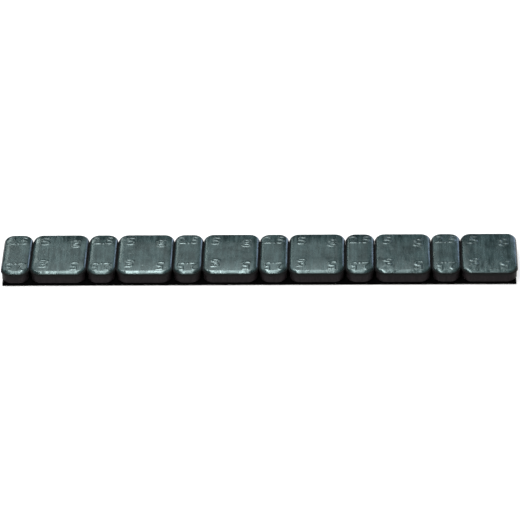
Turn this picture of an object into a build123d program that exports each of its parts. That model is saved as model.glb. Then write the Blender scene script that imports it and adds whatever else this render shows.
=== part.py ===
"""Stick-on wheel balance weight: a strip of pressed steel weights on one foam tape.

Small and large weights take turns along the strip, so that any multiple of the small one can be cut off.
X runs along the strip, Y across it and Z up, away from the face that sticks to the wheel rim.
The origin is the middle of the underside. Sizes are in millimetres.
"""

import os

from build123d import *

# The row of weights
PAIR_COUNT = 6
WEIGHT_GAP = 0.06

# One pressed weight: a flat panel, sloping shoulders rolled into it, round edges, and a lip over the lower walls
SMALL_LENGTH = 6.74
LARGE_LENGTH = 13.04
WEIGHT_WIDTH = 16.40
WEIGHT_HEIGHT = 3.32
CORNER_RADIUS = 2.55
SHOULDER_WIDTH = 1.80
SHOULDER_DROP = 0.24
SHOULDER_ROLL_RADIUS = 7.0
TOP_EDGE_RADIUS = 1.08
LIP_HEIGHT = 1.90
LIP_OVERHANG = 0.26
LIP_BEVEL = 0.14
BOTTOM_EDGE_BEVEL = 0.15

# The foam tape, set back from the outline of the weights, and the film that covers its lower adhesive
TAPE_THICKNESS = 0.75
TAPE_SETBACK = 0.35
LINER_THICKNESS = 0.10

# Sizes that follow from those above
PAIR_LENGTH = SMALL_LENGTH + LARGE_LENGTH + 2 * WEIGHT_GAP
STRIP_LENGTH = PAIR_COUNT * PAIR_LENGTH - WEIGHT_GAP
TAPE_LENGTH = STRIP_LENGTH - 2 * TAPE_SETBACK
TAPE_WIDTH = WEIGHT_WIDTH - 2 * TAPE_SETBACK
TAPE_BASE = LINER_THICKNESS
WEIGHT_BASE = TAPE_BASE + TAPE_THICKNESS


def top_face(solid):
    """The highest face of a solid."""
    return solid.faces().sort_by(Axis.Z)[-1]


def rim_edges(shouldered):
    """The ring of edges between the walls and the shoulders, third from the top: the panel's edges and the
    shoulders' own corner seams lie above it."""
    return shouldered.edges().group_by(Axis.Z)[-3]


def bevelled_below(solid, bevel):
    """The solid with its lowest edges bevelled."""
    return chamfer(solid.faces().sort_by(Axis.Z)[0].edges(), bevel)


def rounded_block(length, width, corner_radius, base, top):
    """A block with round upright edges between two heights."""
    return Pos(0, 0, base) * extrude(RectangleRounded(length, width, corner_radius), top - base)


def pressed_weight(length):
    """One weight, standing on Z = 0 about the Z axis."""
    block = rounded_block(length, WEIGHT_WIDTH, CORNER_RADIUS, LIP_HEIGHT, WEIGHT_HEIGHT)
    face = top_face(block)
    shouldered = chamfer(face.edges(), SHOULDER_WIDTH, SHOULDER_DROP, reference=face)
    softened = fillet(rim_edges(shouldered), TOP_EDGE_RADIUS)
    rolled = fillet(top_face(softened).edges(), SHOULDER_ROLL_RADIUS)
    cap = bevelled_below(rolled, LIP_BEVEL)
    foot_length = length - 2 * LIP_OVERHANG
    foot_width = WEIGHT_WIDTH - 2 * LIP_OVERHANG
    foot = rounded_block(foot_length, foot_width, CORNER_RADIUS - LIP_OVERHANG, 0, LIP_HEIGHT)
    return cap + bevelled_below(foot, BOTTOM_EDGE_BEVEL)


def weight_row():
    """Every weight by name, in place on the tape, from the small one at the -X end."""
    lengths = {"small": SMALL_LENGTH, "large": LARGE_LENGTH}
    forms = {size: pressed_weight(length) for size, length in lengths.items()}
    placed = {}
    left_end = -STRIP_LENGTH / 2
    for pair in range(1, PAIR_COUNT + 1):
        for size, length in lengths.items():
            middle = left_end + length / 2
            placed[f"{size}_weight_{pair}"] = Pos(middle, 0, WEIGHT_BASE) * forms[size]
            left_end += length + WEIGHT_GAP
    return placed


def strip_layer(base, thickness):
    """A flat layer under the weights, cut square from a roll."""
    return Pos(0, 0, base) * extrude(Rectangle(TAPE_LENGTH, TAPE_WIDTH), thickness)


def main():
    """Writes each piece of the strip to its own STEP file."""
    pieces = weight_row()
    pieces["foam_tape"] = strip_layer(TAPE_BASE, TAPE_THICKNESS)
    pieces["release_liner"] = strip_layer(0, LINER_THICKNESS)
    os.makedirs("parts", exist_ok=True)
    for name, solid in pieces.items():
        export_step(solid, f"parts/{name}.step")


main()
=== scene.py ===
"""Looks of a stick-on wheel balance weight: coated steel weights in a row on one black foam tape.

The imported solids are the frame. Every weight, the tape and its liner get a modelled mesh of the same form in
place of the plain solid, with raised numerals, small dents and procedural finishes. Sizes are millimetres in
the dataclasses and metres in the meshes and node trees.
"""

import logging
import math
from abc import ABC, abstractmethod
from collections.abc import Mapping
from dataclasses import dataclass, field
from enum import Enum
from itertools import pairwise

import bpy
from mathutils import Matrix, Vector


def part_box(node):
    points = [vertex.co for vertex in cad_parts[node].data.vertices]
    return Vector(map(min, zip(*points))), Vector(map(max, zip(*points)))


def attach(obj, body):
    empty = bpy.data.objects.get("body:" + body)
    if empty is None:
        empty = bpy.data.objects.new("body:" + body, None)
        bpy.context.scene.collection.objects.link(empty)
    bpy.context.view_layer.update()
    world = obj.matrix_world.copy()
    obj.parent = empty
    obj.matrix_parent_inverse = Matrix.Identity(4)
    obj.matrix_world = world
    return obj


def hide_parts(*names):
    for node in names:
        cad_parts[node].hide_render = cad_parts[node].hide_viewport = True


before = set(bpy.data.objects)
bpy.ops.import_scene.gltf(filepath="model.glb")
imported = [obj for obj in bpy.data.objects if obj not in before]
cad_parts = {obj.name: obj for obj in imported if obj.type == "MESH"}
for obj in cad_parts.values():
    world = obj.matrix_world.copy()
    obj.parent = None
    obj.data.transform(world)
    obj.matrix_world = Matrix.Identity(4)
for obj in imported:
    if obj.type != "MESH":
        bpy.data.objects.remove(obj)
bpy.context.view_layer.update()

MM = 0.001
NOISE_MIDDLE = 0.5
BODY = "root"
LOG = logging.getLogger("balance_weight")

Colour = tuple[float, float, float]
Place = tuple[float, float, float]
Span = tuple[float, float]


class Slot(Enum):
    """Material slots of the record."""

    COATED_STEEL = "coated_steel"
    BLACK_FOAM = "black_foam"
    LINER_FILM = "liner_film"


@dataclass(frozen=True)
class Grain:
    """Character of a noise: size of its largest features in millimetres, octaves, and what each keeps."""

    size: float
    detail: float = 2.0
    roughness: float = 0.5


class Field:
    """One value in a node tree. Arithmetic on it adds the maths nodes that work it out."""

    def __init__(self, graph: "Graph", socket: bpy.types.NodeSocket) -> None:
        """Holds the socket that carries the value."""
        self.graph = graph
        self.socket = socket

    def __add__(self, other: "Value") -> "Field":
        """The sum of two values."""
        return self.graph.maths("ADD", self, other)

    def __sub__(self, other: "Value") -> "Field":
        """This value less another."""
        return self.graph.maths("SUBTRACT", self, other)

    def __rsub__(self, other: "Value") -> "Field":
        """Another value less this one."""
        return self.graph.maths("SUBTRACT", other, self)

    def __mul__(self, other: "Value") -> "Field":
        """The product of two values."""
        return self.graph.maths("MULTIPLY", self, other)

    def __truediv__(self, other: "Value") -> "Field":
        """This value divided by another."""
        return self.graph.maths("DIVIDE", self, other)

    def __pow__(self, other: "Value") -> "Field":
        """This value to a power."""
        return self.graph.maths("POWER", self, other)

    def __abs__(self) -> "Field":
        """This value without its sign."""
        return self.graph.maths("ABSOLUTE", self)

    __radd__ = __add__
    __rmul__ = __mul__

    def at_least(self, other: "Value") -> "Field":
        """The larger of two values."""
        return self.graph.maths("MAXIMUM", self, other)

    def at_most(self, other: "Value") -> "Field":
        """The smaller of two values."""
        return self.graph.maths("MINIMUM", self, other)

    def above(self, other: "Value") -> "Field":
        """1 where this value is larger than the other, else 0."""
        return self.graph.maths("GREATER_THAN", self, other)

    def clamped(self) -> "Field":
        """This value kept between 0 and 1."""
        return self.at_least(0.0).at_most(1.0)

    def mixed(self, other: "Field", share: float) -> "Field":
        """This value by its share, and another by the rest."""
        return self * share + other * (1 - share)


Value = Field | bpy.types.NodeSocket | float | int | str | bool | tuple
Inputs = Mapping[str | int, Value]


class Graph:
    """A node tree under construction, for geometry or for a shader."""

    def __init__(self, tree: bpy.types.NodeTree) -> None:
        """Holds the tree that the nodes go into."""
        self.tree = tree

    def join(self, value: Value, socket: bpy.types.NodeSocket) -> None:
        """Links a value to an input, or sets it there if it is a constant.

        Args:
            value: A field, an output socket or a constant.
            socket: The input that takes it.
        """
        if isinstance(value, Field):
            self.tree.links.new(value.socket, socket)
        elif isinstance(value, bpy.types.NodeSocket):
            self.tree.links.new(value, socket)
        else:
            socket.default_value = value

    def node(self, kind: str, inputs: Inputs | None = None, **settings: object) -> bpy.types.Node:
        """Adds one node.

        Args:
            kind: The node's type.
            inputs: Values by input name or number.
            settings: Properties of the node.

        Returns:
            The new node.
        """
        node = self.tree.nodes.new(kind)
        for name, value in settings.items():
            setattr(node, name, value)
        for key, value in (inputs or {}).items():
            self.join(value, node.inputs[key])
        return node

    def field(
        self, kind: str, inputs: Inputs | None = None, output: str | int = 0, **settings: object
    ) -> Field:
        """Adds one node and takes one of its outputs.

        Args:
            kind: The node's type.
            inputs: Values by input name or number.
            output: Name or number of the output.
            settings: Properties of the node.

        Returns:
            That output as a field.
        """
        return Field(self, self.node(kind, inputs, **settings).outputs[output])

    def geometry(self, kind: str, inputs: Inputs, **settings: object) -> bpy.types.NodeSocket:
        """Adds one geometry node and takes the geometry that it puts out."""
        return self.node(kind, inputs, **settings).outputs[0]

    def joined(self, *parts: bpy.types.NodeSocket) -> bpy.types.NodeSocket:
        """Several geometries as one.

        Args:
            parts: The geometries.

        Returns:
            All of them together.
        """
        node = self.node("GeometryNodeJoinGeometry")
        for part in parts:
            self.tree.links.new(part, node.inputs[0])
        return node.outputs[0]

    def attribute(self, name: str) -> Field:
        """A value that the mesh carries, as a shader reads it."""
        return self.field("ShaderNodeAttribute", output="Fac", attribute_name=name)

    def maths(self, operation: str, *values: Value) -> Field:
        """The result of one maths node on values in order."""
        return self.field("ShaderNodeMath", dict(enumerate(values)), operation=operation)

    def vector(self, x: Value, y: Value, z: Value) -> Field:
        """A vector of three values."""
        return self.field("ShaderNodeCombineXYZ", {"X": x, "Y": y, "Z": z})

    def split(self, vector: Value) -> tuple[Field, Field, Field]:
        """The X, Y and Z of a vector."""
        outputs = self.node("ShaderNodeSeparateXYZ", {"Vector": vector}).outputs
        return tuple(Field(self, outputs[axis]) for axis in "XYZ")

    def ramp(self, value: Value, start: Value, end: Value, low: float = 0.0, high: float = 1.0) -> Field:
        """A smooth step.

        Args:
            value: The value that drives it.
            start: Where the step begins.
            end: Where it ends.
            low: Result at the start.
            high: Result at the end.

        Returns:
            The step as a field.
        """
        inputs = {"Value": value, "From Min": start, "From Max": end, "To Min": low, "To Max": high}
        return self.field("ShaderNodeMapRange", inputs, interpolation_type="SMOOTHSTEP")

    def noise(self, place: Value, grain: Grain) -> Field:
        """Soft noise about 0.5.

        Args:
            place: Where it is read, in metres.
            grain: Its character.

        Returns:
            The noise.
        """
        scale = 1 / (grain.size * MM)
        inputs = {"Vector": place, "Scale": scale, "Detail": grain.detail, "Roughness": grain.roughness}
        return self.field("ShaderNodeTexNoise", inputs)


@dataclass(frozen=True)
class RingCounts:
    """How many rings of faces the slab's grid spends on each stretch of its profile."""

    edge: int = 14
    wall: int = 14
    foot: int = 2

    @property
    def skirt(self) -> int:
        """Rings outside the flat top."""
        return self.edge + self.wall + self.foot


# Rings for the dark sheets of painted shade in the joints between weights.
SHADE_SHEET_RINGS = RingCounts(edge=2, wall=1, foot=1)


class SlabMaker:
    """Geometry Nodes that press a flat grid into a rounded slab with rolled shoulders and raised marks."""

    NUMBERS: tuple[str, ...] = (
        "Length", "Width", "Top", "Corner radius", "Edge radius", "Side edge radius",
        "Shoulder along", "Shoulder across", "Drop along", "Drop across",
        "Lip height", "Lip overhang", "Lip bevel", "Foot bevel", "Step",
        "Left mark place", "Right mark place", "Mark row", "Mark shift", "Mark size", "Mark breadth",
        "Relief", "Relief slope", "Waviness", "Dent depth", "Wall ripple", "Seed",
    )
    INPUTS: dict[str, str] = dict.fromkeys(NUMBERS, "NodeSocketFloat") | {
        "Middle": "NodeSocketVector",
        "Left mark": "NodeSocketString",
        "Right mark": "NodeSocketString",
        "Face finish": "NodeSocketMaterial",
        "Wall finish": "NodeSocketMaterial",
    }
    WALL_START = 0.66
    WAVE_GRAIN = Grain(1.5)
    WAVE_STRETCH = 0.45
    RIPPLE_GRAIN = Grain(0.55)
    DENT_SPACING = 1.7
    DENT_REACH = 0.30
    DENT_SHARE = 0.30
    SEED_STRIDE = 0.137
    INSIDE = 1e-7
    WELD = 1e-6
    RIM_NEIGHBOURS = 1.5

    def __init__(self, rings: RingCounts) -> None:
        """Builds the tree.

        Args:
            rings: Rings of faces on each stretch of the profile.
        """
        self.rings = rings
        self.tree = bpy.data.node_groups.new("rounded_slab", "GeometryNodeTree")
        self.graph = Graph(self.tree)
        for name, kind in self.INPUTS.items():
            self.tree.interface.new_socket(name, in_out="INPUT", socket_type=kind)
        self.tree.interface.new_socket("Geometry", in_out="OUTPUT", socket_type="NodeSocketGeometry")
        group_input = self.tree.nodes.new("NodeGroupInput")
        self.given = {name: Field(self.graph, group_input.outputs[name]) for name in self.INPUTS}
        self._lay_out()

    def make(self, name: str, values: Mapping[str, object]) -> bpy.types.Object:
        """Makes one slab as a plain mesh object at the origin.

        Args:
            name: Name of the piece.
            values: The tree's inputs by name, in metres.

        Returns:
            The object, with its place in its mesh.
        """
        piece = bpy.data.objects.new(name, bpy.data.meshes.new(f"{name}_blank"))
        bpy.context.scene.collection.objects.link(piece)
        modifier = piece.modifiers.new("slab", "NODES")
        modifier.node_group = self.tree
        for item in self.tree.interface.items_tree:
            if item.in_out == "INPUT":
                modifier[item.identifier] = values[item.name]
        depsgraph = bpy.context.evaluated_depsgraph_get()
        mesh = bpy.data.meshes.new_from_object(piece.evaluated_get(depsgraph))
        mesh.name = f"{name}_mesh"
        blank = piece.data
        piece.modifiers.clear()
        piece.data = mesh
        bpy.data.meshes.remove(blank)
        return piece

    def _lay_out(self) -> None:
        """Joins the stages of the tree from the flat grid to the finished slab."""
        graph, given, rings = self.graph, self.given, self.rings
        core_along = given["Length"] / 2 - given["Corner radius"]
        core_across = given["Width"] / 2 - given["Corner radius"]
        flat_rings = self._count(given["Corner radius"] - given["Edge radius"])
        along_cells = self._count(core_along * 2)
        across_cells = self._count(core_across * 2)
        all_rings = flat_rings + rings.skirt
        grid = self._grid(along_cells + all_rings * 2, across_cells + all_rings * 2)

        grid_x, grid_y, _ = graph.split(graph.field("GeometryNodeInputPosition"))
        past_x = (abs(grid_x) - along_cells / 2).at_least(0.0)
        past_y = (abs(grid_y) - across_cells / 2).at_least(0.0)
        ring = past_x.at_least(past_y)
        span = graph.maths("SQRT", past_x * past_x + past_y * past_y).at_least(self.WELD)
        edge = ((ring - flat_rings) / rings.edge).clamped()
        wall = ((ring - flat_rings - rings.edge) / rings.wall).clamped()
        foot = ((ring - flat_rings - rings.edge - rings.wall) / rings.foot).clamped()
        turn = edge * (math.pi / 2)
        facing_end = (past_y / span) ** 2.0
        radius = given["Side edge radius"] + (given["Edge radius"] - given["Side edge radius"]) * facing_end
        flat_run = given["Corner radius"] - radius
        out = (ring / flat_rings).at_most(1.0) * flat_run + graph.maths("SINE", turn) * radius

        seed_shift = given["Seed"] * self.SEED_STRIDE
        step = given["Step"]
        ripple_place = graph.vector(grid_x * step + seed_shift, grid_y * step, wall * given["Top"])
        out = out - graph.noise(ripple_place, self.RIPPLE_GRAIN) * given["Wall ripple"] * edge
        rim_x = self._spread(grid_x, past_x, along_cells, core_along, span, out)
        rim_y = self._spread(grid_y, past_y, across_cells, core_across, span, out)
        height, relief = self._face_height(rim_x, rim_y, seed_shift, edge)
        brim = height - (1.0 - graph.maths("COSINE", turn)) * radius
        z = brim + (given["Foot bevel"] - brim) * wall - foot * given["Foot bevel"]

        below_brim = (given["Lip height"] + given["Lip bevel"] - z) / given["Lip bevel"]
        under_lip = below_brim.clamped() * wall.above(0.0)
        out = out - under_lip * given["Lip overhang"] - foot * given["Foot bevel"]
        x = self._spread(grid_x, past_x, along_cells, core_along, span, out)
        y = self._spread(grid_y, past_y, across_cells, core_across, span, out)
        mesh = self._store(grid, "relief", relief)
        mesh = self._store(mesh, "turn", edge + wall)
        # How side-facing each point is; the coat uses it to reach its painted edge shade further in on the
        # sides.
        mesh = self._store(mesh, "side", 1.0 - facing_end)
        inputs = {"Geometry": mesh, "Position": graph.vector(x, y, z)}
        pressed = graph.geometry("GeometryNodeSetPosition", inputs)
        self._finish(self._close_foot(pressed))

    def _count(self, run: Field) -> Field:
        """Whole number of cells of about one step along a run, at least 1."""
        return self.graph.maths("ROUND", run / self.given["Step"]).at_least(1.0)

    def _grid(self, columns: Field, rows: Field) -> bpy.types.NodeSocket:
        """A flat grid with cells of size 1.

        Args:
            columns: Cells along X.
            rows: Cells along Y.

        Returns:
            The grid's mesh socket.
        """
        inputs = {"Size X": columns, "Size Y": rows, "Vertices X": columns + 1.0, "Vertices Y": rows + 1.0}
        return self.graph.node("GeometryNodeMeshGrid", inputs).outputs["Mesh"]

    def _spread(
        self, place: Field, past: Field, cells: Field, core: Field, span: Field, out: Field
    ) -> Field:
        """Maps one grid coordinate to the slab's outline: straight over the core, round at the corners.

        Args:
            place: The grid coordinate.
            past: How far it lies past the core, in cells.
            cells: Cells across the core.
            core: Half the core's size.
            span: Length of the way past the core in both directions, in cells.
            out: How far this ring reaches out from the core.

        Returns:
            The coordinate on the slab.
        """
        half = cells / 2
        inner = place.at_least(half * -1.0).at_most(half)
        return inner / half * core + self.graph.maths("SIGN", place) * past / span * out

    def _face_height(self, x: Field, y: Field, seed_shift: Field, edge: Field) -> tuple[Field, Field]:
        """Height of the face with its rolled shoulders, marks, dents and slight waves.

        Args:
            x: Place along the slab.
            y: Place across it.
            seed_shift: Shift of the random patterns.
            edge: 0 on the face, up to 1 at the foot of the rounded edge.

        Returns:
            The height, and how far the marks stand up from 0 to 1.
        """
        graph, given = self.graph, self.given
        along = self._shoulder(given["Length"] / 2 - abs(x), given["Shoulder along"], given["Drop along"])
        across = self._shoulder(given["Width"] / 2 - abs(y), given["Shoulder across"], given["Drop across"])
        relief = self._relief(graph.vector(x, y, 0.0)) * (1.0 - edge)
        place = graph.vector(x + seed_shift, y, seed_shift)
        streaked = graph.vector(x + seed_shift, y * self.WAVE_STRETCH, seed_shift)
        wave = graph.noise(streaked, self.WAVE_GRAIN) * given["Waviness"]
        dents = self._dents(place) * given["Dent depth"] * (1.0 - relief)
        return given["Top"] - along - across - wave - dents + relief * given["Relief"], relief

    def _shoulder(self, inset: Field, reach: Field, drop: Field) -> Field:
        """How far the face has rolled down at an inset from an edge, by the reach and drop of its roll."""
        return (1.0 - inset / reach).clamped() ** 2.0 * drop

    def _relief(self, place: Field) -> Field:
        """How far the raised marks stand at a place on the face, from 0 to 1.

        Args:
            place: Place on the flattened face.

        Returns:
            The share of the full relief.
        """
        graph, given = self.graph, self.given
        marks = self._marks()
        strokes = graph.geometry("GeometryNodeFillCurve", {"Curve": marks}, mode="TRIANGLES")
        outline = graph.geometry("GeometryNodeCurveToMesh", {"Curve": marks})
        inputs = {"Geometry": strokes, "Sample Position": place}
        on_strokes = graph.field("GeometryNodeProximity", inputs, "Distance", target_element="FACES")
        inputs = {"Geometry": outline, "Sample Position": place}
        to_outline = graph.node("GeometryNodeProximity", inputs, target_element="EDGES")
        distance = Field(graph, to_outline.outputs["Distance"])
        side = 1.0 - on_strokes.above(self.INSIDE) * 2.0
        known = Field(graph, to_outline.outputs["Is Valid"])
        half_slope = given["Relief slope"] / 2
        return graph.ramp(distance * side, half_slope * -1.0, half_slope) * known

    def _marks(self) -> bpy.types.NodeSocket:
        """Outlines of both marks at the back of the face, and again turned half round at its front.

        Returns:
            The curves, lying flat at height 0.
        """
        graph, given = self.graph, self.given
        lettering = bpy.data.curves.new("mark_font", "FONT").font
        breadth = graph.vector(given["Mark breadth"], 1.0, 1.0)
        marks = []
        for side in ("Left", "Right"):
            text = graph.geometry(
                "GeometryNodeStringToCurves",
                {"String": given[f"{side} mark"], "Size": given["Mark size"]},
                font=lettering,
                align_x="CENTER",
                align_y="MIDDLE",
            )
            place = graph.vector(given[f"{side} mark place"], given["Mark row"], 0.0)
            inputs = {"Geometry": text, "Translation": place, "Scale": breadth}
            marks.append(graph.geometry("GeometryNodeTransform", inputs))
        row = graph.joined(*marks)
        half_round = {"Geometry": row, "Rotation": (0.0, 0.0, math.pi)}
        both = graph.joined(row, graph.geometry("GeometryNodeTransform", half_round))
        shift = graph.vector(0.0, given["Mark shift"], 0.0)
        shifted = graph.geometry("GeometryNodeTransform", {"Geometry": both, "Translation": shift})
        return graph.geometry("GeometryNodeRealizeInstances", {"Geometry": shifted})

    def _dents(self, place: Field) -> Field:
        """Sparse shallow dents, from 0 between them to 1 at the middle of one.

        Args:
            place: Place on the face, shifted by the seed.

        Returns:
            The depth's share.
        """
        graph = self.graph
        inputs = {"Vector": place, "Scale": 1 / (self.DENT_SPACING * MM), "Randomness": 1.0}
        cells = graph.node("ShaderNodeTexVoronoi", inputs)
        chance, size, _ = graph.split(cells.outputs["Color"])
        reach = size * self.DENT_REACH
        hollow = graph.ramp(Field(graph, cells.outputs["Distance"]), reach, 0.0)
        return hollow * (1.0 - chance.above(self.DENT_SHARE))

    def _store(self, mesh: bpy.types.NodeSocket, name: str, value: Field) -> bpy.types.NodeSocket:
        """Keeps a value on the mesh's points.

        Args:
            mesh: The mesh socket.
            name: Name of the attribute.
            value: What it holds.

        Returns:
            The mesh with the attribute.
        """
        inputs = {"Geometry": mesh, "Name": name, "Value": value}
        kind = "GeometryNodeStoreNamedAttribute"
        return self.graph.geometry(kind, inputs, data_type="FLOAT", domain="POINT")

    def _close_foot(self, mesh: bpy.types.NodeSocket) -> bpy.types.NodeSocket:
        """Closes the open underside with one flat face.

        Args:
            mesh: The pressed grid, open below.

        Returns:
            The closed slab.
        """
        graph = self.graph
        neighbours = graph.field("GeometryNodeInputMeshEdgeNeighbors")
        rim = graph.maths("LESS_THAN", neighbours, self.RIM_NEIGHBOURS)
        ring = graph.geometry("GeometryNodeMeshToCurve", {"Mesh": mesh, "Selection": rim})
        sole = graph.geometry("GeometryNodeFillCurve", {"Curve": ring}, mode="NGONS")
        sole = graph.geometry("GeometryNodeFlipFaces", {"Mesh": sole})
        sides = graph.geometry("GeometryNodeSetShadeSmooth", {"Geometry": mesh, "Shade Smooth": True})
        inputs = {"Geometry": graph.joined(sides, sole), "Distance": self.WELD}
        return graph.geometry("GeometryNodeMergeByDistance", inputs)

    def _finish(self, slab: bpy.types.NodeSocket) -> None:
        """Moves the slab to its place, dresses it and ends the tree.

        Args:
            slab: The closed slab about the origin.
        """
        graph, given = self.graph, self.given
        inputs = {"Geometry": slab, "Translation": given["Middle"]}
        moved = graph.geometry("GeometryNodeTransform", inputs)
        plain = graph.geometry("GeometryNodeRealizeInstances", {"Geometry": moved})
        inputs = {"Geometry": plain, "Material": given["Face finish"]}
        dressed = graph.geometry("GeometryNodeSetMaterial", inputs)
        turn = graph.field("GeometryNodeInputNamedAttribute", {"Name": "turn"}, data_type="FLOAT")
        walls = turn.above(self.WALL_START)
        inputs = {"Geometry": dressed, "Selection": walls, "Material": given["Wall finish"]}
        dressed = graph.geometry("GeometryNodeSetMaterial", inputs)
        group_output = self.tree.nodes.new("NodeGroupOutput")
        self.tree.links.new(dressed, group_output.inputs[0])


def blank_material(name: str) -> tuple[bpy.types.Material, Graph]:
    """Starts a material without nodes.

    Args:
        name: Name of the material.

    Returns:
        The material and its graph.
    """
    material = bpy.data.materials.new(name)
    material.use_nodes = True
    material.node_tree.nodes.clear()
    return material, Graph(material.node_tree)


def blended(graph: Graph, share: Value, first: Value, second: Value) -> Field:
    """Blends two colours.

    Args:
        graph: The shader's graph.
        share: 0 gives the first colour, 1 the second.
        first: A colour or a field.
        second: A colour or a field.

    Returns:
        The blend.
    """
    node = graph.node("ShaderNodeMix", data_type="RGBA")
    values = {"Factor_Float": share, "A_Color": first, "B_Color": second}
    for socket in node.inputs:
        if socket.identifier in values:
            value = values[socket.identifier]
            graph.join((*value, 1.0) if isinstance(value, tuple) else value, socket)
    result = next(socket for socket in node.outputs if socket.identifier == "Result_Color")
    return Field(graph, result)


def stretched(graph: Graph, place: Value, scale: Place) -> Field:
    """A place with each axis scaled, so that a pattern runs in streaks."""
    return graph.field("ShaderNodeMapping", {"Vector": place, "Scale": scale}, vector_type="POINT")


@dataclass(frozen=True)
class Surface:
    """What a finish shows at a place: its colour, its roughness and the height of its fine relief."""

    colour: Field
    roughness: Field
    height: Field


@dataclass(frozen=True)
class Finish(ABC):
    """A finish with one Principled shader, patterned on the piece's own coordinates."""

    name: str
    deep: Colour
    pale: Colour
    smooth: float
    rough: float
    specular: float
    bump_depth: float
    tint: Colour = (1.0, 1.0, 1.0)
    rough_span: Span = (0.3, 0.7)

    def material(self) -> bpy.types.Material:
        """Builds the finish.

        Returns:
            The material.
        """
        material, graph = blank_material(self.name)
        surface = self.surface(graph, graph.field("ShaderNodeTexCoord", output="Object"))
        relief = {"Strength": 1.0, "Distance": self.bump_depth * MM, "Height": surface.height}
        inputs = {
            "Base Color": surface.colour,
            "Roughness": surface.roughness,
            "Normal": graph.field("ShaderNodeBump", relief),
            "Specular IOR Level": self.specular,
            "Specular Tint": (*self.tint, 1.0),
        }
        shader = graph.node("ShaderNodeBsdfPrincipled", inputs)
        graph.node("ShaderNodeOutputMaterial", {"Surface": shader.outputs[0]})
        return material

    def roughened(self, graph: Graph, pattern: Field) -> Field:
        """The roughness that a pattern gives, from smooth to rough."""
        return graph.ramp(pattern, *self.rough_span, self.smooth, self.rough)

    @abstractmethod
    def surface(self, graph: Graph, place: Field) -> Surface:
        """Works out the pattern of the finish.

        Args:
            graph: The shader's graph.
            place: Place on the piece.

        Returns:
            What the finish shows there.
        """


@dataclass(frozen=True)
class CoatFinish(Finish):
    """Semi-gloss grey-green coat on the pressed steel, with drawn streaks and specks; marks rubbed lighter on
    their crowns, partly a painted highlight; painted shade round the foot of the marks and on the rounded
    edges.
    """

    name: str = "grey_green_coat"
    deep: Colour = (0.005, 0.016, 0.017)
    pale: Colour = (0.032, 0.060, 0.062)
    # Lighter colour of the marks' crowns: rubbed coat, and partly a painted highlight standing in for glints.
    rubbed_and_glint: Colour = (0.060, 0.090, 0.090)
    # Dark colour of the dust specks, also used as painted shade round the foot of the marks.
    speck_and_shade: Colour = (0.008, 0.012, 0.013)
    # Near-black colour of the painted shade on the rounded edges, sides and corners.
    edge: Colour = (0.007, 0.007, 0.007)
    smooth: float = 0.12
    rough: float = 0.34
    edge_rough: float = 0.55
    patch_rough: float = 0.13
    skirt_rough: float = 0.06
    specular: float = 0.94
    tint: Colour = (0.77, 1.0, 1.0)
    bump_depth: float = 0.012
    clouds: Grain = Grain(4.5, detail=4.0, roughness=0.6)
    streaks: Grain = Grain(0.75, detail=4.0, roughness=0.65)
    fine: Grain = Grain(0.22, detail=3.0, roughness=0.6)
    dust: Grain = Grain(0.55, detail=3.0, roughness=0.7)
    patches: Grain = Grain(2.2)
    streak_stretch: Place = (1.0, 0.09, 1.0)
    cloud_share: float = 0.55
    speck_share: float = 0.7
    crown_bias: float = 0.2
    worn_and_shade_play: float = 0.2
    # How much further in the painted edge shade reaches on side-facing edges.
    side_shade_lead: float = 0.30
    rough_streaks: float = 0.6
    streak_height: float = 0.5
    fine_height: float = 0.35
    speck_depth: float = 0.5
    tone_span: Span = (0.36, 0.64)
    speck_span: Span = (0.64, 0.74)
    skirt_rise: Span = (0.02, 0.15)
    skirt_fall: Span = (0.60, 0.30)
    crown_span: Span = (0.7, 1.0)
    worn_and_shade_span: Span = (0.48, 0.68)
    patch_span: Span = (0.46, 0.60)
    edge_span: Span = (0.0, 0.1)

    def surface(self, graph: Graph, place: Field) -> Surface:
        """Works out the coat: cloudy, streaked, with painted shade round the foot of the marks, lighter crowns
        on them (rubbed, and partly a painted highlight), rougher where worn at the edges, and painted shade on
        the rounded edges that reaches further in on the sides.

        Args:
            graph: The shader's graph.
            place: Place on the weight.

        Returns:
            What the coat shows there.
        """
        relief, turn, side = (graph.attribute(name) for name in ("relief", "turn", "side"))
        clouds = graph.noise(place, self.clouds)
        streaks = graph.noise(stretched(graph, place, self.streak_stretch), self.streaks)
        grain = graph.noise(place, self.fine)
        specks = graph.ramp(graph.noise(place, self.dust), *self.speck_span)
        tone = graph.ramp(clouds.mixed(streaks, self.cloud_share), *self.tone_span)
        # Painted shade in the crease round the foot of the raised marks.
        skirt = graph.ramp(relief, *self.skirt_rise) * graph.ramp(relief, *self.skirt_fall)
        # Lighter crowns on the marks: rubbed coat, and partly a painted highlight.
        worn_and_lit_crowns = graph.ramp(relief, *self.crown_span) * (grain + self.crown_bias).clamped()
        reach = turn + (grain - NOISE_MIDDLE) * self.worn_and_shade_play
        worn = graph.ramp(reach, *self.worn_and_shade_span)
        # Painted shade: the rounded edges darken towards black, starting earlier on the sides and corners.
        edge_shade = graph.ramp(reach + side * self.side_shade_lead, *self.worn_and_shade_span)
        colour = blended(graph, tone, self.deep, self.pale)
        colour = blended(graph, specks * self.speck_share, colour, self.speck_and_shade)
        # Painted shade round the foot of the marks.
        colour = blended(graph, skirt, colour, self.speck_and_shade)
        # Rubbed crowns of the marks, partly a painted highlight.
        colour = blended(graph, worn_and_lit_crowns, colour, self.rubbed_and_glint)
        # Painted shade on the rounded edges and corners.
        colour = blended(graph, edge_shade, colour, self.edge)
        patches = graph.ramp(graph.noise(place, self.patches), *self.patch_span)
        patches = patches * graph.ramp(turn, *self.edge_span)
        roughness = self.roughened(graph, streaks.mixed(grain, self.rough_streaks))
        roughness = roughness + patches * self.patch_rough + skirt * self.skirt_rough
        roughness = roughness + worn * (self.edge_rough - roughness)
        height = streaks * self.streak_height + grain * self.fine_height - specks * self.speck_depth
        return Surface(colour, roughness, height)


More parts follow.
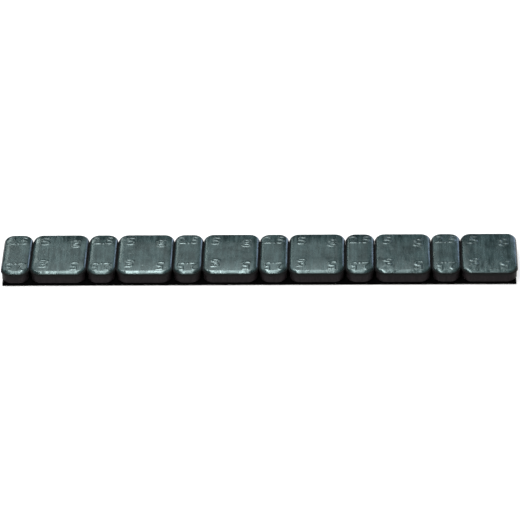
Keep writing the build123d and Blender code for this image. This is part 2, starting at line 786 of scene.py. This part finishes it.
@dataclass(frozen=True)
class WallFinish(Finish):
    """Matt brown-black film on the sheared walls of a weight, with upright shear marks and painted shade under
    the lip.
    """

    name: str = "dark_wall_film"
    deep: Colour = (0.0106, 0.0085, 0.0096)
    pale: Colour = (0.0258, 0.0197, 0.0222)
    # Near-black colour of the painted shade under the lip.
    edge: Colour = (0.008, 0.008, 0.008)
    smooth: float = 0.48
    rough: float = 0.66
    specular: float = 0.15
    bump_depth: float = 0.02
    shear: Grain = Grain(0.35, detail=3.0, roughness=0.6)
    fine: Grain = Grain(0.18, detail=3.0, roughness=0.6)
    shear_stretch: Place = (1.0, 1.0, 0.12)
    shear_share: float = 0.6
    tone_span: Span = (0.35, 0.65)
    lip_shade_span: Span = (1.12, 1.26)

    def surface(self, graph: Graph, place: Field) -> Surface:
        """Works out the walls: streaked upright, with painted shade along the lip above them.

        Args:
            graph: The shader's graph.
            place: Place on the weight.

        Returns:
            What the walls show there.
        """
        shear = graph.noise(stretched(graph, place, self.shear_stretch), self.shear)
        grain = graph.noise(place, self.fine)
        tone = graph.ramp(shear.mixed(grain, self.shear_share), *self.tone_span)
        film = blended(graph, tone, self.deep, self.pale)
        # Painted shade: the top of the wall, just under the lip's overhang, goes near-black.
        lip_shade = graph.ramp(graph.attribute("turn"), *self.lip_shade_span)
        colour = blended(graph, lip_shade, self.edge, film)
        return Surface(colour, self.roughened(graph, grain), shear + grain)


@dataclass(frozen=True)
class FoamFinish(Finish):
    """Matt black closed-cell foam, with cut cells that show as small pits."""

    name: str = "black_foam"
    deep: Colour = (0.0004, 0.0004, 0.0005)
    pale: Colour = (0.0022, 0.0022, 0.0023)
    smooth: float = 0.78
    rough: float = 0.92
    specular: float = 0.02
    bump_depth: float = 0.05
    cell: float = 0.16
    soot: Grain = Grain(1.4, detail=3.0)
    soot_gain: float = 1.6
    pit_span: Span = (0.15, 0.6)

    def surface(self, graph: Graph, place: Field) -> Surface:
        """Works out the foam: pitted, and blacker in patches.

        Args:
            graph: The shader's graph.
            place: Place on the tape.

        Returns:
            What the foam shows there.
        """
        inputs = {"Vector": place, "Scale": 1 / (self.cell * MM), "Randomness": 1.0}
        pits = graph.ramp(graph.field("ShaderNodeTexVoronoi", inputs, "Distance"), *self.pit_span)
        soot = graph.noise(place, self.soot)
        colour = blended(graph, pits * soot * self.soot_gain, self.deep, self.pale)
        return Surface(colour, self.roughened(graph, soot), pits)


@dataclass(frozen=True)
class FilmFinish(Finish):
    """Pale siliconised release film, with faint rolled bands along the strip."""

    name: str = "pale_release_film"
    deep: Colour = (0.58, 0.58, 0.55)
    pale: Colour = (0.74, 0.74, 0.71)
    smooth: float = 0.30
    rough: float = 0.42
    specular: float = 0.4
    bump_depth: float = 0.006
    bands: Grain = Grain(1.2, detail=3.0)
    fibres: Grain = Grain(0.4, detail=4.0, roughness=0.65)
    band_stretch: Place = (0.05, 1.0, 1.0)
    band_share: float = 0.5
    tone_span: Span = (0.35, 0.65)

    def surface(self, graph: Graph, place: Field) -> Surface:
        """Works out the film: banded along the strip, with fine fibres.

        Args:
            graph: The shader's graph.
            place: Place on the liner.

        Returns:
            What the film shows there.
        """
        bands = graph.noise(stretched(graph, place, self.band_stretch), self.bands)
        fibres = graph.noise(place, self.fibres)
        tone = graph.ramp(bands.mixed(fibres, self.band_share), *self.tone_span)
        return Surface(blended(graph, tone, self.deep, self.pale), self.roughened(graph, fibres), fibres)


class WeightSize(Enum):
    """The two sizes of weight in the row."""

    SMALL = "small"
    LARGE = "large"


@dataclass(frozen=True)
class WeightForm:
    """What differs between the sizes: the raised marks, which repeat turned half round at the front, and the
    pressed face."""

    left: str
    right: str
    left_place: float
    right_place: float
    row: float
    shift: float
    mark_size: float
    breadth: float
    relief: float
    drop_across: float
    waviness: float
    dent_depth: float


FORMS: dict[WeightSize, WeightForm] = {
    WeightSize.SMALL: WeightForm(
        left="2.5",
        right="",
        left_place=0.0,
        right_place=0.0,
        row=5.2,
        shift=-0.4,
        mark_size=4.2,
        breadth=1.0,
        relief=0.08,
        drop_across=0.32,
        waviness=0.030,
        dent_depth=0.02,
    ),
    WeightSize.LARGE: WeightForm(
        left="5",
        right="g",
        left_place=-3.5,
        right_place=3.5,
        row=4.9,
        shift=-0.4,
        mark_size=4.4,
        breadth=1.2,
        relief=0.08,
        drop_across=0.27,
        waviness=0.080,
        dent_depth=0.06,
    ),
}


def over_box(low: Vector, high: Vector) -> dict[str, object]:
    """Inputs that put a slab over a box.

    Args:
        low: Lower corner of the box, in metres.
        high: Upper corner of the box, in metres.

    Returns:
        The slab's outline and place by input name.
    """
    size = high - low
    middle = ((low.x + high.x) / 2, (low.y + high.y) / 2, low.z)
    return {"Length": size.x, "Width": size.y, "Top": size.z, "Middle": middle}


def in_metres(lengths: Mapping[str, float]) -> dict[str, float]:
    """Lengths by name, from millimetres to metres."""
    return {name: length * MM for name, length in lengths.items()}


def plain_slab(
    low: Vector, high: Vector, corner: float, edge: float, step: float, finish: bpy.types.Material
) -> dict[str, object]:
    """Inputs of a slab without shoulders, lip or marks.

    Args:
        low: Lower corner of its box, in metres.
        high: Upper corner of its box, in metres.
        corner: Radius of its upright edges.
        edge: Radius of its other edges.
        step: Size of its cells.
        finish: Its finish.

    Returns:
        The tree's inputs by name.
    """
    plain = dict.fromkeys(SlabMaker.NUMBERS, 0.0)
    edges = dict.fromkeys(("Edge radius", "Side edge radius", "Lip bevel", "Foot bevel"), edge)
    runs = dict.fromkeys(("Shoulder along", "Shoulder across", "Step", "Relief slope"), step)
    marks = {"Left mark": "", "Right mark": ""}
    finishes = {"Face finish": finish, "Wall finish": finish}
    lengths = in_metres({"Corner radius": corner} | edges | runs)
    return plain | lengths | over_box(low, high) | marks | finishes


@dataclass
class WeightRow:
    """The row of pressed weights, each in place of its solid."""

    maker: SlabMaker
    plain_maker: SlabMaker
    pairs: int = 6
    corner_radius: float = 2.55
    edge_radius: float = 0.95
    side_edge_radius: float = 0.70
    shoulder_along: float = 1.90
    shoulder_across: float = 5.00
    drop_along: float = 0.24
    lip_height: float = 1.90
    lip_overhang: float = 0.26
    lip_bevel: float = 0.14
    foot_bevel: float = 0.15
    step: float = 0.10
    relief_slope: float = 0.36
    wall_ripple: float = 0.01
    # The joint sheets below are painted shade: dark sheets that fill the hairline joints between lips, where
    # there is only shade.
    shade_sheet_play: float = 0.004
    shade_sheet_height: float = 0.34
    shade_sheet_corner: float = 0.02
    sheet_edge: float = 0.01
    shade_sheet_step: float = 2.55
    coat: CoatFinish = field(default_factory=CoatFinish)
    wall: WallFinish = field(default_factory=WallFinish)

    def build(self) -> list[bpy.types.Object]:
        """Makes every weight from the -X end to the +X end, and the dark sheets of painted shade in the joints
        between them.

        Returns:
            Their objects.
        """
        coat = self.coat.material()
        wall = self.wall.material()
        weights = []
        nodes = []
        for pair in range(1, self.pairs + 1):
            for size in WeightSize:
                node = f"{size.value}_weight_{pair}"
                nodes.append(node)
                weights.append(self._weight(node, FORMS[size], float(len(nodes)), coat, wall))
        # The joint sheets are painted shade.
        return weights + [self._joint_shade(left, right, wall) for left, right in pairwise(nodes)]

    def _weight(
        self, node: str, form: WeightForm, seed: float, coat: bpy.types.Material, wall: bpy.types.Material
    ) -> bpy.types.Object:
        """Makes one weight over the box of its solid.

        Args:
            node: Name of the solid.
            form: Its marks and pressed face.
            seed: Seed of its dents and waves.
            coat: Finish of its face.
            wall: Finish of its walls.

        Returns:
            The weight's object.
        """
        values = over_box(*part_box(node))
        values["Top"] -= form.relief * MM
        lengths = {
            "Corner radius": self.corner_radius,
            "Edge radius": self.edge_radius,
            "Side edge radius": self.side_edge_radius,
            "Shoulder along": self.shoulder_along,
            "Shoulder across": self.shoulder_across,
            "Drop along": self.drop_along,
            "Drop across": form.drop_across,
            "Lip height": self.lip_height,
            "Lip overhang": self.lip_overhang,
            "Lip bevel": self.lip_bevel,
            "Foot bevel": self.foot_bevel,
            "Step": self.step,
            "Left mark place": form.left_place,
            "Right mark place": form.right_place,
            "Mark row": form.row,
            "Mark shift": form.shift,
            "Mark size": form.mark_size,
            "Relief": form.relief,
            "Relief slope": self.relief_slope,
            "Waviness": form.waviness,
            "Dent depth": form.dent_depth,
            "Wall ripple": self.wall_ripple,
        }
        values |= in_metres(lengths) | {
            "Left mark": form.left,
            "Right mark": form.right,
            "Mark breadth": form.breadth,
            "Seed": seed,
            "Face finish": coat,
            "Wall finish": wall,
        }
        return mount(self.maker.make(f"coated_{node}", values), node)

    def _joint_shade(self, left: str, right: str, finish: bpy.types.Material) -> bpy.types.Object:
        """Makes the dark sheet that closes the hairline joint between two lips: painted shade where the joint
        shows only shade.

        Args:
            left: Name of the solid on the -X side.
            right: Name of the solid on the +X side.
            finish: The sheet's finish.

        Returns:
            The sheet's object.
        """
        left_low, left_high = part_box(left)
        right_low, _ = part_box(right)
        play = self.shade_sheet_play * MM
        inset = self.corner_radius * MM
        base = left_low.z + (self.lip_height + self.lip_bevel) * MM
        low = Vector((left_high.x + play, left_low.y + inset, base))
        high = Vector((right_low.x - play, left_high.y - inset, base + self.shade_sheet_height * MM))
        values = plain_slab(low, high, self.shade_sheet_corner, self.sheet_edge, self.shade_sheet_step, finish)
        return mount(self.plain_maker.make(f"joint_film_{left}", values))


@dataclass
class TapeLayers:
    """The foam tape under the weights and the film under the tape, each in place of its solid."""

    maker: SlabMaker
    corner_radius: float = 0.16
    step: float = 0.50
    foam: FoamFinish = field(default_factory=FoamFinish)
    film: FilmFinish = field(default_factory=FilmFinish)
    foam_edge: float = 0.08
    foam_ripple: float = 0.09
    sheet_edge: float = 0.015
    film_ripple: float = 0.03

    def build(self) -> list[bpy.types.Object]:
        """Makes the tape and its liner.

        Returns:
            Their objects.
        """
        tape = self._layer("foam_tape", self.foam.material(), self.foam_edge, self.foam_ripple)
        liner = self._layer("release_liner", self.film.material(), self.sheet_edge, self.film_ripple)
        return [mount(tape, "foam_tape"), mount(liner, "release_liner")]

    def _layer(self, node: str, finish: bpy.types.Material, edge: float, ripple: float) -> bpy.types.Object:
        """Makes one flat layer over the box of its solid.

        Args:
            node: Name of the solid.
            finish: Its finish.
            edge: Radius of its long edges.
            ripple: How far its cut edges waver.

        Returns:
            The layer's object.
        """
        values = plain_slab(*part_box(node), self.corner_radius, edge, self.step, finish)
        values["Wall ripple"] = ripple * MM
        return self.maker.make(f"cut_{node}", values)


def mount(piece: bpy.types.Object, node: str | None = None) -> bpy.types.Object:
    """Puts a piece on the body.

    Args:
        piece: The finished piece.
        node: Name of the solid that it stands for, if any.

    Returns:
        The same piece.
    """
    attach(piece, BODY)
    if node is not None:
        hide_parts(node)
    return piece


class Facing(Enum):
    """Ways that a lamp can face."""

    DOWN = (0.0, 0.0, -1.0)
    FRONT = (0.0, -1.0, 0.0)


class LampTint(Enum):
    """Colours of the lamps."""

    WHITE = (1.0, 1.0, 1.0)
    GREENISH = (0.93, 1.0, 0.96)
    PALE_BLUE = (0.70, 0.80, 1.0)
    BLUE = (0.60, 0.72, 1.0)


@dataclass(frozen=True)
class SoftBox:
    """One soft studio lamp."""

    name: str
    facing: Facing
    place: Place
    width: float
    height: float
    radiance: float
    tint: LampTint = LampTint.WHITE

    def build(self) -> bpy.types.Object:
        """Makes the lamp.

        Returns:
            The lamp's object.
        """
        lamp = bpy.data.lights.new(self.name, "AREA")
        lamp.shape = "RECTANGLE"
        lamp.size = self.width * MM
        lamp.size_y = self.height * MM
        lamp.energy = self.radiance * math.pi * lamp.size * lamp.size_y
        lamp.color = self.tint.value
        holder = bpy.data.objects.new(self.name, lamp)
        holder.location = Vector(self.place) * MM
        holder.rotation_euler = Vector(self.facing.value).to_track_quat("-Z", "Y").to_euler()
        holder.visible_camera = False
        bpy.context.scene.collection.objects.link(holder)
        return holder


@dataclass
class Studio:
    """Floor, lamps, surroundings and camera."""

    floor_size: float = 12000.0
    floor_drop: float = 0.01
    floor_colour: Colour = (0.45, 0.45, 0.45)
    floor_glow: float = 0.75
    image_size: int = 520
    sensor: float = 36.0
    focal_pixels: float = 3697.0
    azimuth: float = 2.099
    elevation: float = 33.955
    roll: float = -1.391
    distance: float = 857.8
    target: Place = (0.120, 0.0, 1.774)
    sky_low: float = 0.02
    sky_high: float = 0.16
    sky_rise: Span = (0.3, 0.75)
    clip: Span = (0.01, 20.0)
    lamps: tuple[SoftBox, ...] = (
        SoftBox("key_strip", Facing.DOWN, (-45.0, -110.0, 400.0), 76.0, 620.0, 14.4),
        SoftBox("key_fill", Facing.DOWN, (48.0, -110.0, 400.0), 110.0, 620.0, 0.2),
        SoftBox("upper_panel", Facing.DOWN, (-40.0, 265.0, 400.0), 170.0, 130.0, 5.6),
        SoftBox("glint_panel", Facing.DOWN, (-200.0, 190.0, 400.0), 80.0, 130.0, 9.0),
        SoftBox("rise_panel", Facing.FRONT, (-20.0, 598.0, 570.0), 170.0, 180.0, 0.65),
        SoftBox("back_panel", Facing.FRONT, (-200.0, 600.0, 519.0), 480.0, 282.0, 0.70),
        SoftBox("back_fill", Facing.FRONT, (190.0, 600.0, 519.0), 300.0, 282.0, 0.08),
        SoftBox("left_panel", Facing.FRONT, (-188.0, 598.0, 322.0), 66.0, 84.0, 3.0, LampTint.GREENISH),
        SoftBox("left_low", Facing.FRONT, (-188.0, 596.0, 310.0), 66.0, 84.0, 3.0, LampTint.GREENISH),
        SoftBox("right_fill", Facing.FRONT, (185.0, 600.0, 215.0), 90.0, 350.0, 1.0, LampTint.PALE_BLUE),
        SoftBox("right_panel", Facing.FRONT, (330.0, 600.0, 165.0), 200.0, 330.0, 2.5, LampTint.BLUE),
    )

    def build(self) -> None:
        """Makes the floor, the lamps, the surroundings and the camera."""
        scene = bpy.context.scene
        scene.view_settings.view_transform = "Standard"
        self._floor()
        for lamp in self.lamps:
            lamp.build()
        scene.world = self._surroundings()
        scene.camera = self._camera()

    def _floor(self) -> bpy.types.Object:
        """A plain pale floor just under the strip.

        Returns:
            The floor's object.
        """
        half = self.floor_size * MM / 2
        height = -self.floor_drop * MM
        mesh = bpy.data.meshes.new("floor_mesh")
        ways = ((-1, -1), (1, -1), (1, 1), (-1, 1))
        corners = [(half * way_x, half * way_y, height) for way_x, way_y in ways]
        mesh.from_pydata(corners, [], [range(len(corners))])
        mesh.materials.append(self._floor_material())
        floor = bpy.data.objects.new("floor", mesh)
        bpy.context.scene.collection.objects.link(floor)
        return floor

    def _floor_material(self) -> bpy.types.Material:
        """Pale floor that looks white to the camera and in reflections, and keeps the strip's shadow.

        Returns:
            The material.
        """
        material, graph = blank_material("pale_floor")
        path = graph.node("ShaderNodeLightPath")
        seen = Field(graph, path.outputs["Is Camera Ray"])
        for ray in ("Is Glossy Ray", "Is Transmission Ray"):
            seen = seen + Field(graph, path.outputs[ray])
        paint = graph.node("ShaderNodeBsdfDiffuse", {"Color": (*self.floor_colour, 1.0)})
        glow = graph.node("ShaderNodeEmission", {"Strength": seen.at_most(1.0) * self.floor_glow})
        both = graph.node("ShaderNodeAddShader", {0: paint.outputs[0], 1: glow.outputs[0]})
        graph.node("ShaderNodeOutputMaterial", {"Surface": both.outputs[0]})
        return material

    def _surroundings(self) -> bpy.types.World:
        """Dim surroundings, darker near the horizon.

        Returns:
            The world.
        """
        world = bpy.data.worlds.new("surroundings")
        world.use_nodes = True
        world.node_tree.nodes.clear()
        graph = Graph(world.node_tree)
        _, _, rise = graph.split(graph.field("ShaderNodeTexCoord", output="Generated"))
        level = graph.ramp(rise, *self.sky_rise, self.sky_low, self.sky_high)
        sky = graph.node("ShaderNodeBackground", {"Color": (1.0, 1.0, 1.0, 1.0), "Strength": level})
        graph.node("ShaderNodeOutputWorld", {"Surface": sky.outputs[0]})
        return world

    def _camera(self) -> bpy.types.Object:
        """The camera at the photograph's viewing angle.

        Returns:
            The camera's object.
        """
        angles = (self.azimuth, self.elevation, self.roll)
        azimuth, elevation, roll = (math.radians(angle) for angle in angles)
        level = math.cos(elevation)
        back = Vector((math.sin(azimuth) * level, -math.cos(azimuth) * level, math.sin(elevation)))
        right = (-back).cross(Vector((0.0, 0.0, 1.0))).normalized()
        up = right.cross(-back)
        turned_right = right * math.cos(roll) + up * math.sin(roll)
        turned_up = up * math.cos(roll) - right * math.sin(roll)
        turn = Matrix((turned_right, turned_up, back)).transposed()
        lens = bpy.data.cameras.new("camera")
        lens.sensor_width = self.sensor
        lens.lens = self.focal_pixels / self.image_size * self.sensor
        lens.clip_start, lens.clip_end = self.clip
        camera = bpy.data.objects.new("camera", lens)
        place = (Vector(self.target) + back * self.distance) * MM
        camera.matrix_world = Matrix.Translation(place) @ turn.to_4x4()
        bpy.context.scene.collection.objects.link(camera)
        return camera


def main() -> None:
    """Builds the weights, the tape and the studio, and reports each piece."""
    logging.basicConfig(level=logging.INFO, format="%(name)s: %(message)s")
    maker = SlabMaker(RingCounts())
    plain_maker = SlabMaker(SHADE_SHEET_RINGS)
    for piece in [*WeightRow(maker, plain_maker).build(), *TapeLayers(maker).build()]:
        LOG.info("%s has %d faces", piece.name, len(piece.data.polygons))
    Studio().build()


if __name__ == "__main__":
    main()
